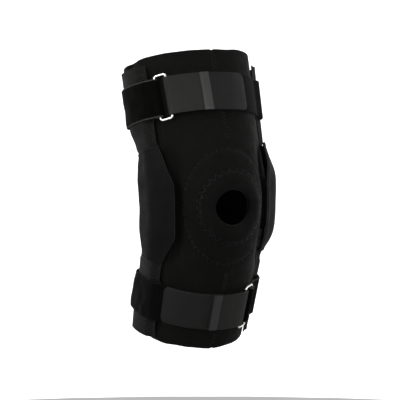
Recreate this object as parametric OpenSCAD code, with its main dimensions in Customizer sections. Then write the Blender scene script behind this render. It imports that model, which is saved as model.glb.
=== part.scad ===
// Hinged knee brace with an open kneecap.
// A neoprene sleeve bends with the knee between two geared side hinges, and is cinched by a
// thigh strap and a calf strap. The origin is the middle of the knee, halfway between the hinges:
// -Y is the front, +Z is up the leg, and left and right (-X and +X) are as seen from the front.
// Places on the leg are given as t (distance up the leg's centreline from the knee), phi (angle
// round the leg, 0 at the front and 90 at the right) and off (height above the sleeve).

/* [Sleeve] */
// Centreline length from the knee up to the top edge
thigh_len = 150; // [146:1:152]
// Centreline length from the knee down to the bottom edge
calf_len = 138; // [134:1:142]
// Half width of the sleeve at its top edge
thigh_half_w = 64; // [63:0.5:65]
// Half width of the sleeve at the knee
knee_half_w = 58.5; // [58:0.25:58.75]
// Half width of the sleeve at its bottom edge
calf_half_w = 54; // [53:0.5:55]
// Thickness of the neoprene
neoprene = 3.5; // [2.5:0.5:4]
// Radius of the kneecap opening
patella_r = 17.5; // [16:0.5:19]

/* [Bend] */
// Lean of the thigh, and of the shin, from the upright hinge plates as the brace is shown
lean = 16; // [14:1:16]

/* [Hinges] */
// Distance between a hinge's two pivots
pivot_gap = 18; // [18:18]
// Width of a side bar
bar_w = 16; // [14:1:17]
// Thickness of a side bar
bar_t = 2.5; // [2:0.25:2.5]
// Radius of a rivet's shank
rivet_r = 3; // [2.5:0.25:3.25]
// Teeth in a full turn of a bar's gear
teeth = 12; // [12:12]

/* [Straps] */
// Width of a strap
strap_w = 40; // [36:1:41]
// Thickness of a strap
strap_t = 1.6; // [1.2:0.1:1.6]
// Lower edge of the thigh strap, up the leg from the knee
thigh_strap_t = 84; // [82:1:88]
// Upper edge of the calf strap, down the leg from the knee
calf_strap_t = 76; // [74:1:80]
// Thickness of a strap ring's wire
wire_d = 2.6; // [2.2:0.2:2.6]

/* [Hidden] */
$fn = 48;

// Depth of the sleeve in front of the leg's centreline and behind it: bottom edge, knee, top edge
front_depths = [49, 59, 51];
back_depths = [60, 57, 69];
// Half length of the leg's curved stretch, and its radius
bend_half = 50;
bend_r = bend_half / (lean * PI / 180);
// The smallest gap left between soft parts
gap = 0.3;

// ---------- the leg's surface ----------

function clamp(v, low = 0, high = 1) = max(low, min(high, v));
function ease(v) = let (c = clamp(v)) c * c * (3 - 2 * c);
function mix(a, b, v) = a + (b - a) * v;

// A size that changes smoothly from the bottom edge through the knee to the top edge
function along(t, low, mid, high) =
    let (up = (high - mid) / thigh_len,
         down = (low - mid) / calf_len,
         curve = (up + down) / (thigh_len + calf_len))
    mid + (up - curve * thigh_len) * t + curve * t * t;

function half_w(t) = along(t, calf_half_w, knee_half_w, thigh_half_w);
function depth(t, phi) =
    let (d = cos(phi) > 0 ? front_depths : back_depths)
    along(t, d[0], d[1], d[2]);
function lean_at(t) = lean * clamp(t / bend_half, -1, 1);
function centre(t) =
    let (a = lean_at(t), straight = max(abs(t) - bend_half, 0))
    [bend_r * (1 - cos(a)) + straight * sin(abs(a)),
     bend_r * sin(a) + sign(t) * straight * cos(a)];

// The point on the leg at t and phi, off above the sleeve
function skin(t, phi, off = 0) =
    let (w = half_w(t), d = depth(t, phi), a = lean_at(t), c = centre(t),
         n = [sin(phi) / w, -cos(phi) / d],
         k = off / norm(n),
         x = w * sin(phi) + k * n[0],
         y = -d * cos(phi) + k * n[1])
    [x, c[0] + y * cos(a), c[1] - y * sin(a)];

// The angle round the leg of a point y behind the centreline, on the right side
function side_phi(t, y) = 90 + asin(y / depth(t, y < 0 ? 0 : 180));
// How far a point at phi is behind the centreline
function side_y(t, phi) = -depth(t, phi) * cos(phi);

// A closed solid between two sheets of points, given as rows; ring joins the ends of each row
module slab(outer, inner, ring = false) {
    rows = len(outer);
    cols = len(outer[0]);
    n = rows * cols;
    last = ring ? cols - 1 : cols - 2;
    points = concat([for (row = outer) each row], [for (row = inner) each row]);
    function at(sheet, r, c) = sheet * n + r * cols + c % cols;
    quads = [
        for (r = [0 : rows - 2], c = [0 : last])
            [at(0, r, c), at(0, r + 1, c), at(0, r + 1, c + 1), at(0, r, c + 1)],
        for (r = [0 : rows - 2], c = [0 : last])
            [at(1, r, c), at(1, r, c + 1), at(1, r + 1, c + 1), at(1, r + 1, c)],
        for (c = [0 : last])
            [at(0, 0, c), at(0, 0, c + 1), at(1, 0, c + 1), at(1, 0, c)],
        for (c = [0 : last], r = rows - 1)
            [at(0, r, c), at(1, r, c), at(1, r, c + 1), at(0, r, c + 1)],
        if (!ring) for (r = [0 : rows - 2])
            [at(0, r, 0), at(1, r, 0), at(1, r + 1, 0), at(0, r + 1, 0)],
        if (!ring) for (r = [0 : rows - 2], c = cols - 1)
            [at(0, r, c), at(0, r + 1, c), at(1, r + 1, c), at(1, r, c)]
    ];
    polyhedron(points, [for (q = quads) each [[q[0], q[1], q[2]], [q[0], q[2], q[3]]]]);
}

// ---------- the sleeve ----------

// Where the thigh and calf parts of the sleeve meet the stretch parts, lower at the front
join_front = 54;
join_back = 78;
function join_t(phi) = mix(join_back, join_front, (1 + cos(phi)) / 2);
// The knee panel's half height and its angle to each side
panel_t = 40;
panel_phi = 70;

function spread(low, high, count) = [for (i = [0 : count]) mix(low, high, i / count)];

module sleeve_part(t_low, t_high, phis, rows, ring = false) {
    function sheet(off) = [
        for (v = spread(0, 1, rows)) [
            for (phi = phis) skin(mix(t_low(phi), t_high(phi), v), phi, off)
        ]
    ];
    slab(sheet(0), sheet(-neoprene), ring);
}

round_phis = [for (i = [0 : 47]) i * 7.5];

module thigh_sleeve() {
    color("#191919")
    sleeve_part(function (phi) join_t(phi) + gap, function (phi) thigh_len, round_phis, 5, true);
}

module calf_sleeve() {
    color("#191919")
    sleeve_part(function (phi) -calf_len, function (phi) -join_t(phi) - gap, round_phis, 5, true);
}

module knee_panel() {
    color("#191919")
    difference() {
        sleeve_part(function (phi) -panel_t, function (phi) panel_t,
                    spread(-panel_phi, panel_phi, 20), 8);
        rotate([90, 0, 0]) cylinder(h = 100, r = patella_r + 2, $fn = 64);
    }
}

module popliteal_panel() {
    color("#151515")
    sleeve_part(function (phi) gap - join_t(phi), function (phi) join_t(phi) - gap,
                spread(panel_phi + 1, 359 - panel_phi, 30), 10);
}

module upper_gusset() {
    color("#191919")
    sleeve_part(function (phi) panel_t + gap, function (phi) join_t(phi) - gap,
                spread(-panel_phi, panel_phi, 20), 2);
}

module lower_gusset() {
    color("#191919")
    sleeve_part(function (phi) gap - join_t(phi), function (phi) -panel_t - gap,
                spread(-panel_phi, panel_phi, 20), 2);
}

// The buttress round the kneecap opening, in polar steps about the opening
ring_out = [34, 39];
ring_h = 5.5;
// The bend spreads the front of the knee: t there covers more than its own length
front_spread = 1 + front_depths[1] / bend_r;
module patella_ring() {
    turns = [for (i = [0 : 35]) i * 10];
    steps = spread(0, 1, 6);
    function place(v, turn, off) =
        skin(mix(patella_r, ring_out[1], v) * cos(turn) / front_spread,
             asin(mix(patella_r, ring_out[0], v) * sin(turn) / half_w(0)), off);
    function crown(v) = gap + 0.8 + ring_h * sqrt(clamp(sin(180 * v)));
    color("#1d1d1d")
    slab([for (v = steps) [for (a = turns) place(v, a, crown(v))]],
         [for (v = steps) [for (a = turns) place(v, a, gap)]], true);
}

// ---------- the hinges: each is built on the right and mirrored to the left ----------

// The pivots lie where the bars' lines, straight down the leg, reach them
pivot_z = pivot_gap / 2;
pivot_y = centre(bend_half)[0] - (centre(bend_half)[1] - pivot_z) * tan(lean);
// A bar's distance from its pivot, for a place t up the leg
pivot_t = bend_half - (centre(bend_half)[1] - pivot_z) / cos(lean);

// The hinge's layers, by their distance from the leg's middle plane
pad_x = 59.7;
pad_thick = 2.3;
head_in_x = 62.1;
head_in_t = 0.8;
plate_t = 1.2;
inner_plate_x = head_in_x + head_in_t;
bar_x = inner_plate_x + plate_t + 0.1;
outer_plate_x = bar_x + bar_t + 0.1;
head_out_x = outer_plate_x + plate_t;
head_out_t = 1.4;
plate_r = 13;
pad_r = 20;
bore_clearance = 0.06;
free_clearance = 0.15;

// Each bar's inner face, by place along the leg, and where the bar ends
thigh_bar_line = [[0, bar_x], [30, bar_x], [62, 63], [144, 65.3]];
calf_bar_line = [[0, bar_x], [30, bar_x], [62, 59.5], [136, 55.7]];
thigh_bar_end = 134;
calf_bar_end = 126;

function bar_line(t) = t > 0 ? thigh_bar_line : calf_bar_line;
function bar_out(t) = lookup(abs(t), bar_line(t)) + bar_t;

module on_side(left) {
    if (left) mirror([1, 0, 0]) children();
    else children();
}
module at_pivot(upper) translate([0, pivot_y, upper ? pivot_z : -pivot_z]) children();
module outward(x, h) translate([x, 0, 0]) rotate([90, 0, 90]) linear_extrude(h) children();

// A tooth of the gear, pointing along +X, with involute sides
gear_r = pivot_gap / 2;
module tooth() {
    base_r = gear_r * cos(20);
    tip_r = gear_r + 1.2;
    root_r = gear_r - 1.7;
    backlash = 0.16;
    function involute(a) = tan(a) * 180 / PI - a;
    function half_angle(r) =
        (PI * gear_r / teeth - backlash / 2) / gear_r * 90 / PI
        + involute(20) - involute(acos(base_r / r));
    flank = [for (r = spread(base_r, tip_r, 4)) [r, half_angle(r)]];
    side = concat([[root_r - 0.5, half_angle(base_r)]], flank);
    polygon(concat(
        [for (p = side) p[0] * [cos(p[1]), sin(p[1])]],
        [for (i = [len(side) - 1 : -1 : 0]) side[i][0] * [cos(side[i][1]), -sin(side[i][1])]]
    ));
}

// A bar's flat head: the gear's disc and teeth, the neck, and the stop that meets the other
// bar's stop in front when the knee is straight. first_tooth puts one bar's teeth in the other's
// spaces.
stop_in = 10.6;
stop_out = 15.4;
neck = 9;
neck_w = bar_w - 0.2;
module bar_head(first_tooth) {
    circle(gear_r - 1.7);
    for (k = [-1 : 2]) rotate(-90 + 360 / teeth * (k + first_tooth)) tooth();
    rotate(-lean) {
        translate([-neck_w / 2, 0]) square([neck_w, neck]);
        translate([-stop_out, 2]) square([stop_out, 4]);
        translate([-stop_out, 0.2 - pivot_z]) square([stop_out - stop_in, pivot_z + 3]);
    }
}

// A bar above its pivot; the calf bar is made the same way and turned over
module bar(line, bar_end, first_tooth, bore_r) {
    reach = bar_end - pivot_t - bar_w / 2;
    difference() {
        union() {
            outward(bar_x, bar_t) bar_head(first_tooth);
            rotate([-lean, 0, 0]) intersection() {
                union() {
                    outward(bar_x - 10, 20) translate([-bar_w / 2, neck - 2])
                        square([bar_w, reach - neck + 2]);
                    translate([0, 0, reach]) outward(bar_x - 10, 20) circle(bar_w / 2);
                }
                translate([0, bar_w, 0]) rotate([90, 0, 0]) linear_extrude(2 * bar_w)
                    polygon(concat(
                        [for (p = line) [p[1], p[0] - pivot_t]],
                        [for (i = [len(line) - 1 : -1 : 0])
                            [line[i][1] + bar_t, line[i][0] - pivot_t]]
                    ));
            }
        }
        outward(bar_x - 1, bar_t + 2) circle(bore_r);
    }
}

module thigh_bar(left) {
    color("#b8bcc0")
    on_side(left) at_pivot(true) bar(thigh_bar_line, thigh_bar_end, 0, rivet_r + bore_clearance);
}
module calf_bar(left) {
    color("#b8bcc0")
    on_side(left) mirror([0, 0, 1]) at_pivot(true)
        bar(calf_bar_line, calf_bar_end, 0.5, rivet_r + (left ? free_clearance : bore_clearance));
}
module left_thigh_bar() { thigh_bar(true); }
module right_thigh_bar() { thigh_bar(false); }
module left_calf_bar() { calf_bar(true); }
module right_calf_bar() { calf_bar(false); }

// A plastic tip dipped over a bar's far end
tip_t = 0.5;
tip_len = 16;
module bar_tip(line, bar_end) {
    reach = bar_end - pivot_t - bar_w / 2;
    from = line[2];
    to = line[3];
    slope = (to[1] - from[1]) / (to[0] - from[0]);
    function face(z) = from[1] + (z + pivot_t - from[0]) * slope;
    module body(grow) {
        intersection() {
            union() {
                outward(30, 60) translate([-bar_w / 2 - grow, reach - tip_len])
                    square([bar_w + 2 * grow, tip_len]);
                translate([0, 0, reach]) outward(30, 60) circle(bar_w / 2 + grow);
            }
            translate([0, bar_w, 0]) rotate([90, 0, 0]) linear_extrude(2 * bar_w) polygon([
                for (z = [0, reach + bar_w]) [face(z) - grow, z],
                for (z = [reach + bar_w, 0]) [face(z) + bar_t + grow, z]
            ]);
        }
    }
    at_pivot(true) rotate([-lean, 0, 0]) difference() {
        body(tip_t);
        body(0.02);
    }
}
module both_sides() {
    children();
    mirror([1, 0, 0]) children();
}
module thigh_bar_tips() {
    color("#101010") both_sides() bar_tip(thigh_bar_line, thigh_bar_end);
}
module calf_bar_tips() {
    color("#101010") both_sides() mirror([0, 0, 1]) bar_tip(calf_bar_line, calf_bar_end);
}

// A flat plate with round ends about both pivots
module link(x, h, r) {
    for (upper = [true, false]) at_pivot(upper) outward(x, h) circle(r);
    translate([0, pivot_y, 0]) outward(x, h) square([2 * r, pivot_gap], center = true);
}
module plate(left, x) {
    color("#a9adb1")
    on_side(left) difference() {
        link(x, plate_t, plate_r);
        for (upper = [true, false])
            at_pivot(upper) outward(x - 1, plate_t + 2) circle(rivet_r + 0.02);
    }
}
module left_inner_plate() { plate(true, inner_plate_x); }
module right_inner_plate() { plate(false, inner_plate_x); }
module left_outer_plate() { plate(true, outer_plate_x); }
module right_outer_plate() { plate(false, outer_plate_x); }

// The two rivets are the hinge's pivots
module rivets(left) {
    color("#8f9397")
    on_side(left) for (upper = [true, false])
        at_pivot(upper) rotate([0, 90, 0]) rotate_extrude() polygon([
            [0, head_in_x], [4.6, head_in_x], [5, head_in_x + head_in_t],
            [rivet_r, head_in_x + head_in_t], [rivet_r, head_out_x],
            [5.5, head_out_x], [5.2, head_out_x + 0.7], [3.6, head_out_x + head_out_t],
            [0, head_out_x + head_out_t]
        ]);
}
module left_rivets() { rivets(true); }
module right_rivets() { rivets(false); }

module condyle_pad(left) {
    color("#3a3a3a") on_side(left) link(pad_x, pad_thick, pad_r);
}
module left_condyle_pad() { condyle_pad(true); }
module right_condyle_pad() { condyle_pad(false); }

// ---------- soft parts over the hinges ----------

pocket_w = 38;
pocket_t = 1.4;
pocket_start = 62;
thigh_pocket_end = 141;
// How far a pocket's inside clears the bar's face
pocket_clear = 1.3;

// A pocket's inside, above the sleeve: raised over the bar and down at its sewn edges
function pocket_in(t, y) =
    gap + (bar_out(t) - half_w(t) + pocket_clear - gap) * ease((pocket_w / 2 - 1 - abs(y)) / 7);

module pocket(left, t_low, t_high) {
    ts = spread(t_low, t_high, 6);
    ys = spread(-pocket_w / 2, pocket_w / 2, 16);
    color("#242424") on_side(left)
    slab([for (t = ts) [for (y = ys) skin(t, side_phi(t, y), pocket_in(t, y) + pocket_t)]],
         [for (t = ts) [for (y = ys) skin(t, side_phi(t, y), pocket_in(t, y))]]);
}
module left_thigh_pocket() { pocket(true, pocket_start, thigh_pocket_end); }
module right_thigh_pocket() { pocket(false, pocket_start, thigh_pocket_end); }
module left_calf_pocket() { pocket(true, -calf_len + 1, -pocket_start); }
module right_calf_pocket() { pocket(false, -calf_len + 1, -pocket_start); }

// The cover over a hinge: sewn along its back edge, and standing off the sleeve at its front edge.
// The right one is a little shorter and sits a little higher.
cover_t = 4;
function cover_ends(left) = left ? [-54, 55] : [-48, 57];
function cover_front(u) = lookup(u, [[-1, 21], [-0.6, 36], [0.4, 36.5], [1, 25]]);
function cover_back(u) = lookup(abs(u), [[0, 31], [0.5, 29], [1, 21]]);
// How far the leg's side has fallen away from its widest, y from the middle
function fall(t, y) = half_w(t) * (1 - sqrt(1 - pow(y / depth(t, y < 0 ? 0 : 180), 2)));
function cover_in(t, u, y) =
    let (flat = y > 0 ? 7 : mix(17, 12, ease((abs(t) - 24) / 24)),
         crown = mix(11.8, 7.6, ease((abs(t) - 24) / 32)) + fall(t, clamp(y, -flat, flat)),
         edge = y > 0 ? gap : mix(5.5, 2.5, ease((abs(u) - 0.36) / 0.64)),
         w = y > 0 ? cover_back(u) : cover_front(u))
    mix(crown, edge, ease((abs(y) - flat) / (w - flat)));

module hinge_cover(left) {
    ends = cover_ends(left);
    us = spread(-1, 1, 14);
    vs = spread(-1, 1, 20);
    function sheet(rise) = [
        for (u = us) let (t = mix(ends[0], ends[1], (u + 1) / 2)) [
            for (v = vs) let (y = v < 0 ? v * cover_front(u) : v * cover_back(u))
                skin(t, side_phi(t, y), cover_in(t, u, y) + rise)
        ]
    ];
    color("#1c1c1c") on_side(left) slab(sheet(cover_t), sheet(0));
}
module left_hinge_cover() { hinge_cover(true); }
module right_hinge_cover() { hinge_cover(false); }

// ---------- straps: each runs round the leg, through its ring and back over itself ----------

// Millimetres round the leg to degrees
deg_mm = 180 / (PI * 60);
ring_bars = 13;
ring_gap = 0.3;
tab_t = 1.8;
lie_off = gap + strap_t / 2;
wire_off = gap + strap_t + ring_gap + wire_d / 2;
bight_r = wire_d / 2 + ring_gap + strap_t / 2;
bight_top = wire_off + bight_r - lie_off;
tail_rise = strap_t + 2 * gap + tab_t;

// Each strap: its lower edge, and the angles of its ring, of both edges of the band where its tab
// is joined on, and of the tab's end. The calf strap is laid out mirrored.
thigh_strap = [thigh_strap_t, -54.5, -17.5, -9.5, 29];
calf_strap = [-calf_strap_t - strap_w, -36, 2, 10, 62];
function strap_bar(s) = s[1] + ring_bars / 2 * deg_mm;
function elastic_bar(s) = s[1] - ring_bars / 2 * deg_mm;

// The middle of a strap laid on the leg, raised where it crosses the pockets
function lie(t, phi) =
    let (top = bar_out(t) - half_w(t) + pocket_clear + pocket_t + lie_off)
    lie_off + (top - lie_off) * ease((27 - abs(side_y(t, phi))) / 12);

// A strap along a path of [phi, rise above lying flat], with its last corners rounded by end_r
module strap(s, path, thick = strap_t, end_r = 0) {
    mid = s[0] + strap_w / 2;
    flat = [for (p = path) [p[0] / deg_mm, p[1] + lie(mid, p[0])]];
    n = len(flat);
    normals = [for (i = [0 : n - 1])
        let (d = flat[min(i + 1, n - 1)] - flat[max(i - 1, 0)]) [-d[1], d[0]] / norm(d)];
    function half(i) =
        let (left = max(end_r - abs(flat[n - 1][0] - flat[i][0]), 0))
        strap_w / 2 - end_r + sqrt(max(end_r * end_r - left * left, 0));
    function sheet(rise) = [
        for (v = spread(-1, 1, 4)) [
            for (i = [0 : n - 1])
                let (t = mid + v * half(i))
                skin(t, path[i][0] + normals[i][0] * rise * deg_mm,
                     path[i][1] + lie(t, path[i][0]) + normals[i][1] * rise)
        ]
    ];
    slab(sheet(thick / 2), sheet(-thick / 2));
}

// Part of a turn round a ring's bar, as path points
function bight(bar, angles) = [
    for (a = angles)
        [bar + bight_r * cos(a) * deg_mm, wire_off + bight_r * sin(a) - lie_off]
];

function base_path(s) = concat(
    bight(strap_bar(s), [180 : 15 : 265]),
    [for (phi = [strap_bar(s) + 1 : 6 : 50]) [phi, 0]],
    [for (phi = [54 : 1.5 : 69]) [phi, 0]],
    [for (phi = [72 : 3 : 108]) [phi, 0]],
    [for (phi = [111 : 1.5 : 123]) [phi, 0]],
    [for (phi = [129 : 7 : 178]) [phi, 0]],
    [[179.7, 0]]
);
function elastic_path(s) = let (e = elastic_bar(s)) concat(
    [[-179.7, 0]],
    [for (phi = [-178 : 7 : -122]) [phi, 0]],
    [for (phi = [-118 : 3 : e - 14]) [phi, 0]],
    [[e - 12.5, 0.2], [e - 9.5, 1.2], [e - 5.5, 3.2], [e - 2, bight_top - 0.3]],
    bight(e, [90 : -15 : -90]),
    [for (phi = [e - 2, e - 4, e - 6]) [phi, 0]]
);
function fold_path(s) = bight(strap_bar(s), [92 : 15 : 167]);
function tail_path(s) = let (b = strap_bar(s)) concat(
    bight(b, [88]),
    [for (phi = [b + 3 : 3 : b + 18])
        [phi, mix(bight_top, tail_rise, ease((phi - b - 3) / 15))]],
    [for (phi = spread(b + 21, s[3] + 1, 5)) [phi, tail_rise]]
);
function tab_path(s) = [
    for (phi = concat(spread(s[2] - 2, s[4] - 7, 12), spread(s[4] - 5.5, s[4], 6)))
        [phi, (strap_t + tab_t) / 2 + gap]
];
function band_path(s) = [for (phi = spread(s[2], s[3], 3)) [phi, tail_rise + strap_t / 2 + 0.3]];

module elastic(s) { color("#121212") strap(s, elastic_path(s)); }
module base(s) { color("#2a2a2a") strap(s, base_path(s)); }
module fold(s) { color("#2f2f2f") strap(s, fold_path(s)); }
module tail(s) { color("#2f2f2f") strap(s, tail_path(s)); }
module tab(s) { color("#333333") strap(s, tab_path(s), tab_t, 6); }
module band(s) { color("#4a4a4a") strap(s, band_path(s), 0.4); }

// A rectangle of wire with round corners, its long sides along the leg
module wire_ring(s) {
    bars = [elastic_bar(s), strap_bar(s)];
    low = [for (phi = bars) skin(s[0], phi, wire_off)];
    high = [for (phi = bars) skin(s[0] + strap_w, phi, wire_off)];
    middle = (low[0] + low[1] + high[0] + high[1]) / 4;
    up_sum = high[0] + high[1] - low[0] - low[1];
    up = up_sum / norm(up_sum);
    across_sum = low[1] + high[1] - low[0] - high[0];
    across_flat = across_sum - up * (up * across_sum);
    across = across_flat / norm(across_flat);
    out = cross(up, across);
    half_h = strap_w / 2 + 2 + wire_d / 2;
    half_across = norm(across_flat) / 4;
    corner = 3;
    color("#c9c9c9")
    translate(middle)
    rotate([atan2(out[2], up[2]), -asin(across[2]), atan2(across[1], across[0])])
    for (q = [0, 180]) rotate([0, q, 0]) {
        translate([half_across, 0, corner - half_h])
            cylinder(h = 2 * (half_h - corner), d = wire_d, $fn = 24);
        translate([corner - half_across, 0, half_h]) rotate([0, 90, 0])
            cylinder(h = 2 * (half_across - corner), d = wire_d, $fn = 24);
        for (c = [0, 1])
            translate([(1 - 2 * c) * (half_across - corner), 0, half_h - corner])
            rotate([90, -90 * c, 0])
            rotate_extrude(angle = 90, $fn = 24) translate([corner, 0]) circle(d = wire_d);
    }
}

module thigh_strap_elastic() { elastic(thigh_strap); }
module thigh_strap_ring() { wire_ring(thigh_strap); }
module thigh_strap_base() { base(thigh_strap); }
module thigh_strap_fold() { fold(thigh_strap); }
module thigh_strap_tail() { tail(thigh_strap); }
module thigh_strap_tab() { tab(thigh_strap); }
module thigh_strap_band() { band(thigh_strap); }

module calf_strap_elastic() { mirror([1, 0, 0]) elastic(calf_strap); }
module calf_strap_ring() { mirror([1, 0, 0]) wire_ring(calf_strap); }
module calf_strap_base() { mirror([1, 0, 0]) base(calf_strap); }
module calf_strap_fold() { mirror([1, 0, 0]) fold(calf_strap); }
module calf_strap_tail() { mirror([1, 0, 0]) tail(calf_strap); }
module calf_strap_tab() { mirror([1, 0, 0]) tab(calf_strap); }
module calf_strap_band() { mirror([1, 0, 0]) band(calf_strap); }

thigh_sleeve();
calf_sleeve();
knee_panel();
popliteal_panel();
upper_gusset();
lower_gusset();
patella_ring();
thigh_bar_tips();
calf_bar_tips();
left_thigh_bar();
left_calf_bar();
left_inner_plate();
left_outer_plate();
left_rivets();
left_condyle_pad();
left_hinge_cover();
left_thigh_pocket();
left_calf_pocket();
right_thigh_bar();
right_calf_bar();
right_inner_plate();
right_outer_plate();
right_rivets();
right_condyle_pad();
right_hinge_cover();
right_thigh_pocket();
right_calf_pocket();
thigh_strap_elastic();
thigh_strap_ring();
thigh_strap_base();
thigh_strap_fold();
thigh_strap_tail();
thigh_strap_tab();
thigh_strap_band();
calf_strap_elastic();
calf_strap_ring();
calf_strap_base();
calf_strap_fold();
calf_strap_tail();
calf_strap_tab();
calf_strap_band();
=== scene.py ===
import math
import bpy
import numpy as np
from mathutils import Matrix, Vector


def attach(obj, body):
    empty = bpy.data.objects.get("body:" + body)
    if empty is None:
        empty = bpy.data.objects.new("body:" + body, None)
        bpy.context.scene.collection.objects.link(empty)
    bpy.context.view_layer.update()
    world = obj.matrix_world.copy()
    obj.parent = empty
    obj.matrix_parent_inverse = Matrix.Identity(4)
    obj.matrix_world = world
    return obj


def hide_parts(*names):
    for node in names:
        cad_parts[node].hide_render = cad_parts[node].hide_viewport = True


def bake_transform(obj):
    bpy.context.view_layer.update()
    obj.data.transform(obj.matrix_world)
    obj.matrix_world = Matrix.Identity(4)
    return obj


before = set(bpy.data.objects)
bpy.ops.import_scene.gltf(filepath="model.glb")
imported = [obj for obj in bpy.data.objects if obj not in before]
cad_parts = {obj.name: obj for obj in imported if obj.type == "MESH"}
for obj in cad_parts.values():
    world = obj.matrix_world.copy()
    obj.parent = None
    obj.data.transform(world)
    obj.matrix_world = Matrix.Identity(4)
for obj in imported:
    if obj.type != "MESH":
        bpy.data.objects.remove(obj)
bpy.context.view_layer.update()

MM = 0.001

# ---------- sizes, as in part.scad ----------

THIGH_LEN, CALF_LEN = 150, 138
NEOPRENE = 3.5
PATELLA_R = 17.5
LEAN = 16
BEND_HALF = 50
BEND_R = BEND_HALF / math.radians(LEAN)
# How much longer a length along the front of the bent leg is than along its middle.
FRONT_SPREAD = 1 + 59 / BEND_R
GAP = 0.3
BAR_T = 2.5
# Each bar's inner face: distances from the knee, and how far out it is there.
THIGH_BAR = ([0, 30, 62, 144], [64.2, 64.2, 63, 65.3])
CALF_BAR = ([0, 30, 62, 136], [64.2, 64.2, 59.5, 55.7])
POCKET_W, POCKET_T, POCKET_START, POCKET_CLEAR = 38, 1.4, 62, 1.3
COVER_T = 4
COVER_ENDS = {"left": (-54, 55), "right": (-48, 57)}
STRAP_W, STRAP_T, WIRE_D = 40, 1.6, 2.6
# A strap's lower edge t, then the phi of its ring, its band's two edges and its tab's end.
# The calf strap is worked out this way round too, and then mirrored.
THIGH_STRAP = (84, -54.5, -17.5, -9.5, 29)
CALF_STRAP = (-116, -36, 2, 10, 62)
# Degrees round the leg for each millimetre, at the radius the straps are drawn at.
DEG_MM = 180 / (math.pi * 60)
RING_BARS = 13
TAB_T = 1.8
LIE_OFF = GAP + STRAP_T / 2
WIRE_OFF = GAP + STRAP_T + 0.3 + WIRE_D / 2
BIGHT_R = WIRE_D / 2 + 0.3 + STRAP_T / 2
BIGHT_TOP = WIRE_OFF + BIGHT_R - LIE_OFF
TAIL_RISE = STRAP_T + 2 * GAP + TAB_T
PIVOT_Y, PIVOT_Z = -4.635, 9


# ---------- the leg's surface ----------

def ease(v):
    """0 below 0, 1 above 1, and smooth between."""
    c = np.clip(v, 0, 1)
    return c * c * (3 - 2 * c)


def mix(a, b, v):
    """a where v is 0, b where it is 1."""
    return a + (b - a) * v


def sin(deg):
    return np.sin(np.radians(deg))


def cos(deg):
    return np.cos(np.radians(deg))


def along(t, low, mid, high):
    """A size that is low at the calf's end, mid at the knee and high at the thigh's end."""
    up, down = (high - mid) / THIGH_LEN, (low - mid) / CALF_LEN
    curve = (up + down) / (THIGH_LEN + CALF_LEN)
    return mid + (up - curve * THIGH_LEN) * t + curve * t * t


def half_w(t):
    return along(t, 54, 58.5, 64)


def depth(t, phi):
    return np.where(cos(phi) > 0, along(t, 49, 59, 51), along(t, 60, 57, 69))


def skin(t, phi, off=0.0):
    """Points of the leg at t and phi, off above the sleeve."""
    t, phi, off = np.broadcast_arrays(*[np.asarray(v, float) for v in (t, phi, off)])
    w, d = half_w(t), depth(t, phi)
    a = LEAN * np.clip(t / BEND_HALF, -1, 1)
    straight = np.maximum(np.abs(t) - BEND_HALF, 0)
    cy = BEND_R * (1 - cos(a)) + straight * sin(np.abs(a))
    cz = BEND_R * sin(a) + np.sign(t) * straight * cos(a)
    n0, n1 = sin(phi) / w, -cos(phi) / d
    k = off / np.hypot(n0, n1)
    y = -d * cos(phi) + k * n1
    return np.stack([w * sin(phi) + k * n0, cy + y * cos(a), cz - y * sin(a)], -1)


def side_phi(t, y):
    """The phi on the right side that is y behind the middle of the leg."""
    return 90 + np.degrees(np.arcsin(np.clip(y / depth(t, np.where(y < 0, 0, 180)), -1, 1)))


def side_y(t, phi):
    return -depth(t, phi) * cos(phi)


def bar_out(t):
    """How far out the bars' outer faces are."""
    return np.where(t > 0, np.interp(np.abs(t), *THIGH_BAR), np.interp(np.abs(t), *CALF_BAR)) + BAR_T


def noise(x, y, seed, count=14):
    """Smooth noise from -1 to 1 made of seeded waves with wavelengths near 1."""
    r = np.random.default_rng(seed)
    total = 0
    for _ in range(count):
        angle, size, phase = r.uniform(0, 2 * math.pi), r.uniform(0.6, 1.7), r.uniform(0, 7)
        total = total + np.sin(2 * math.pi * size * (x * math.cos(angle) + y * math.sin(angle)) + phase)
    return total / math.sqrt(count) / 1.6


# ---------- meshes ----------

def line(low, high, step, edge=0.0):
    """Places from low to high about step apart, closer within edge of both ends."""
    ends = [0, 0.12, 0.4, 1] if edge else [0]
    a = [low + edge * e for e in ends]
    b = [high - edge * e for e in ends[::-1]]
    count = max(int(round((b[0] - a[-1]) / step)), 1)
    return np.array(a + list(np.linspace(a[-1], b[0], count + 1)[1:-1]) + b)


def round_edge(d, h, r):
    """Half thickness at a distance d from an edge that is rounded by r."""
    return h - r + np.sqrt(np.maximum(r * r - np.maximum(r - d, 0) ** 2, 0)) + 0.01


def make(name, points, faces, uv=None, sharp=38):
    """A mesh object from points and uv in millimetres, smooth but for edges over sharp degrees."""
    points = np.asarray(points, float) * MM
    mesh = bpy.data.meshes.new(name)
    mesh.from_pydata(points.tolist(), [], [list(map(int, f)) for f in faces])
    mesh.validate()
    if uv is not None:
        layer = mesh.uv_layers.new(name="cloth")
        index = np.empty(len(mesh.loops), np.int32)
        mesh.loops.foreach_get("vertex_index", index)
        layer.data.foreach_set("uv", (np.asarray(uv, float) * MM)[index].astype(np.float32).ravel())
    mesh.shade_smooth()
    mesh.set_sharp_from_angle(angle=math.radians(sharp))
    ob = bpy.data.objects.new(name, mesh)
    bpy.context.scene.collection.objects.link(ob)
    return ob


def face_out(ob):
    """Turns the faces of a closed mesh outwards."""
    if sum(p.center.dot(p.normal) * p.area for p in ob.data.polygons) < 0:
        ob.data.flip_normals()


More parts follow.
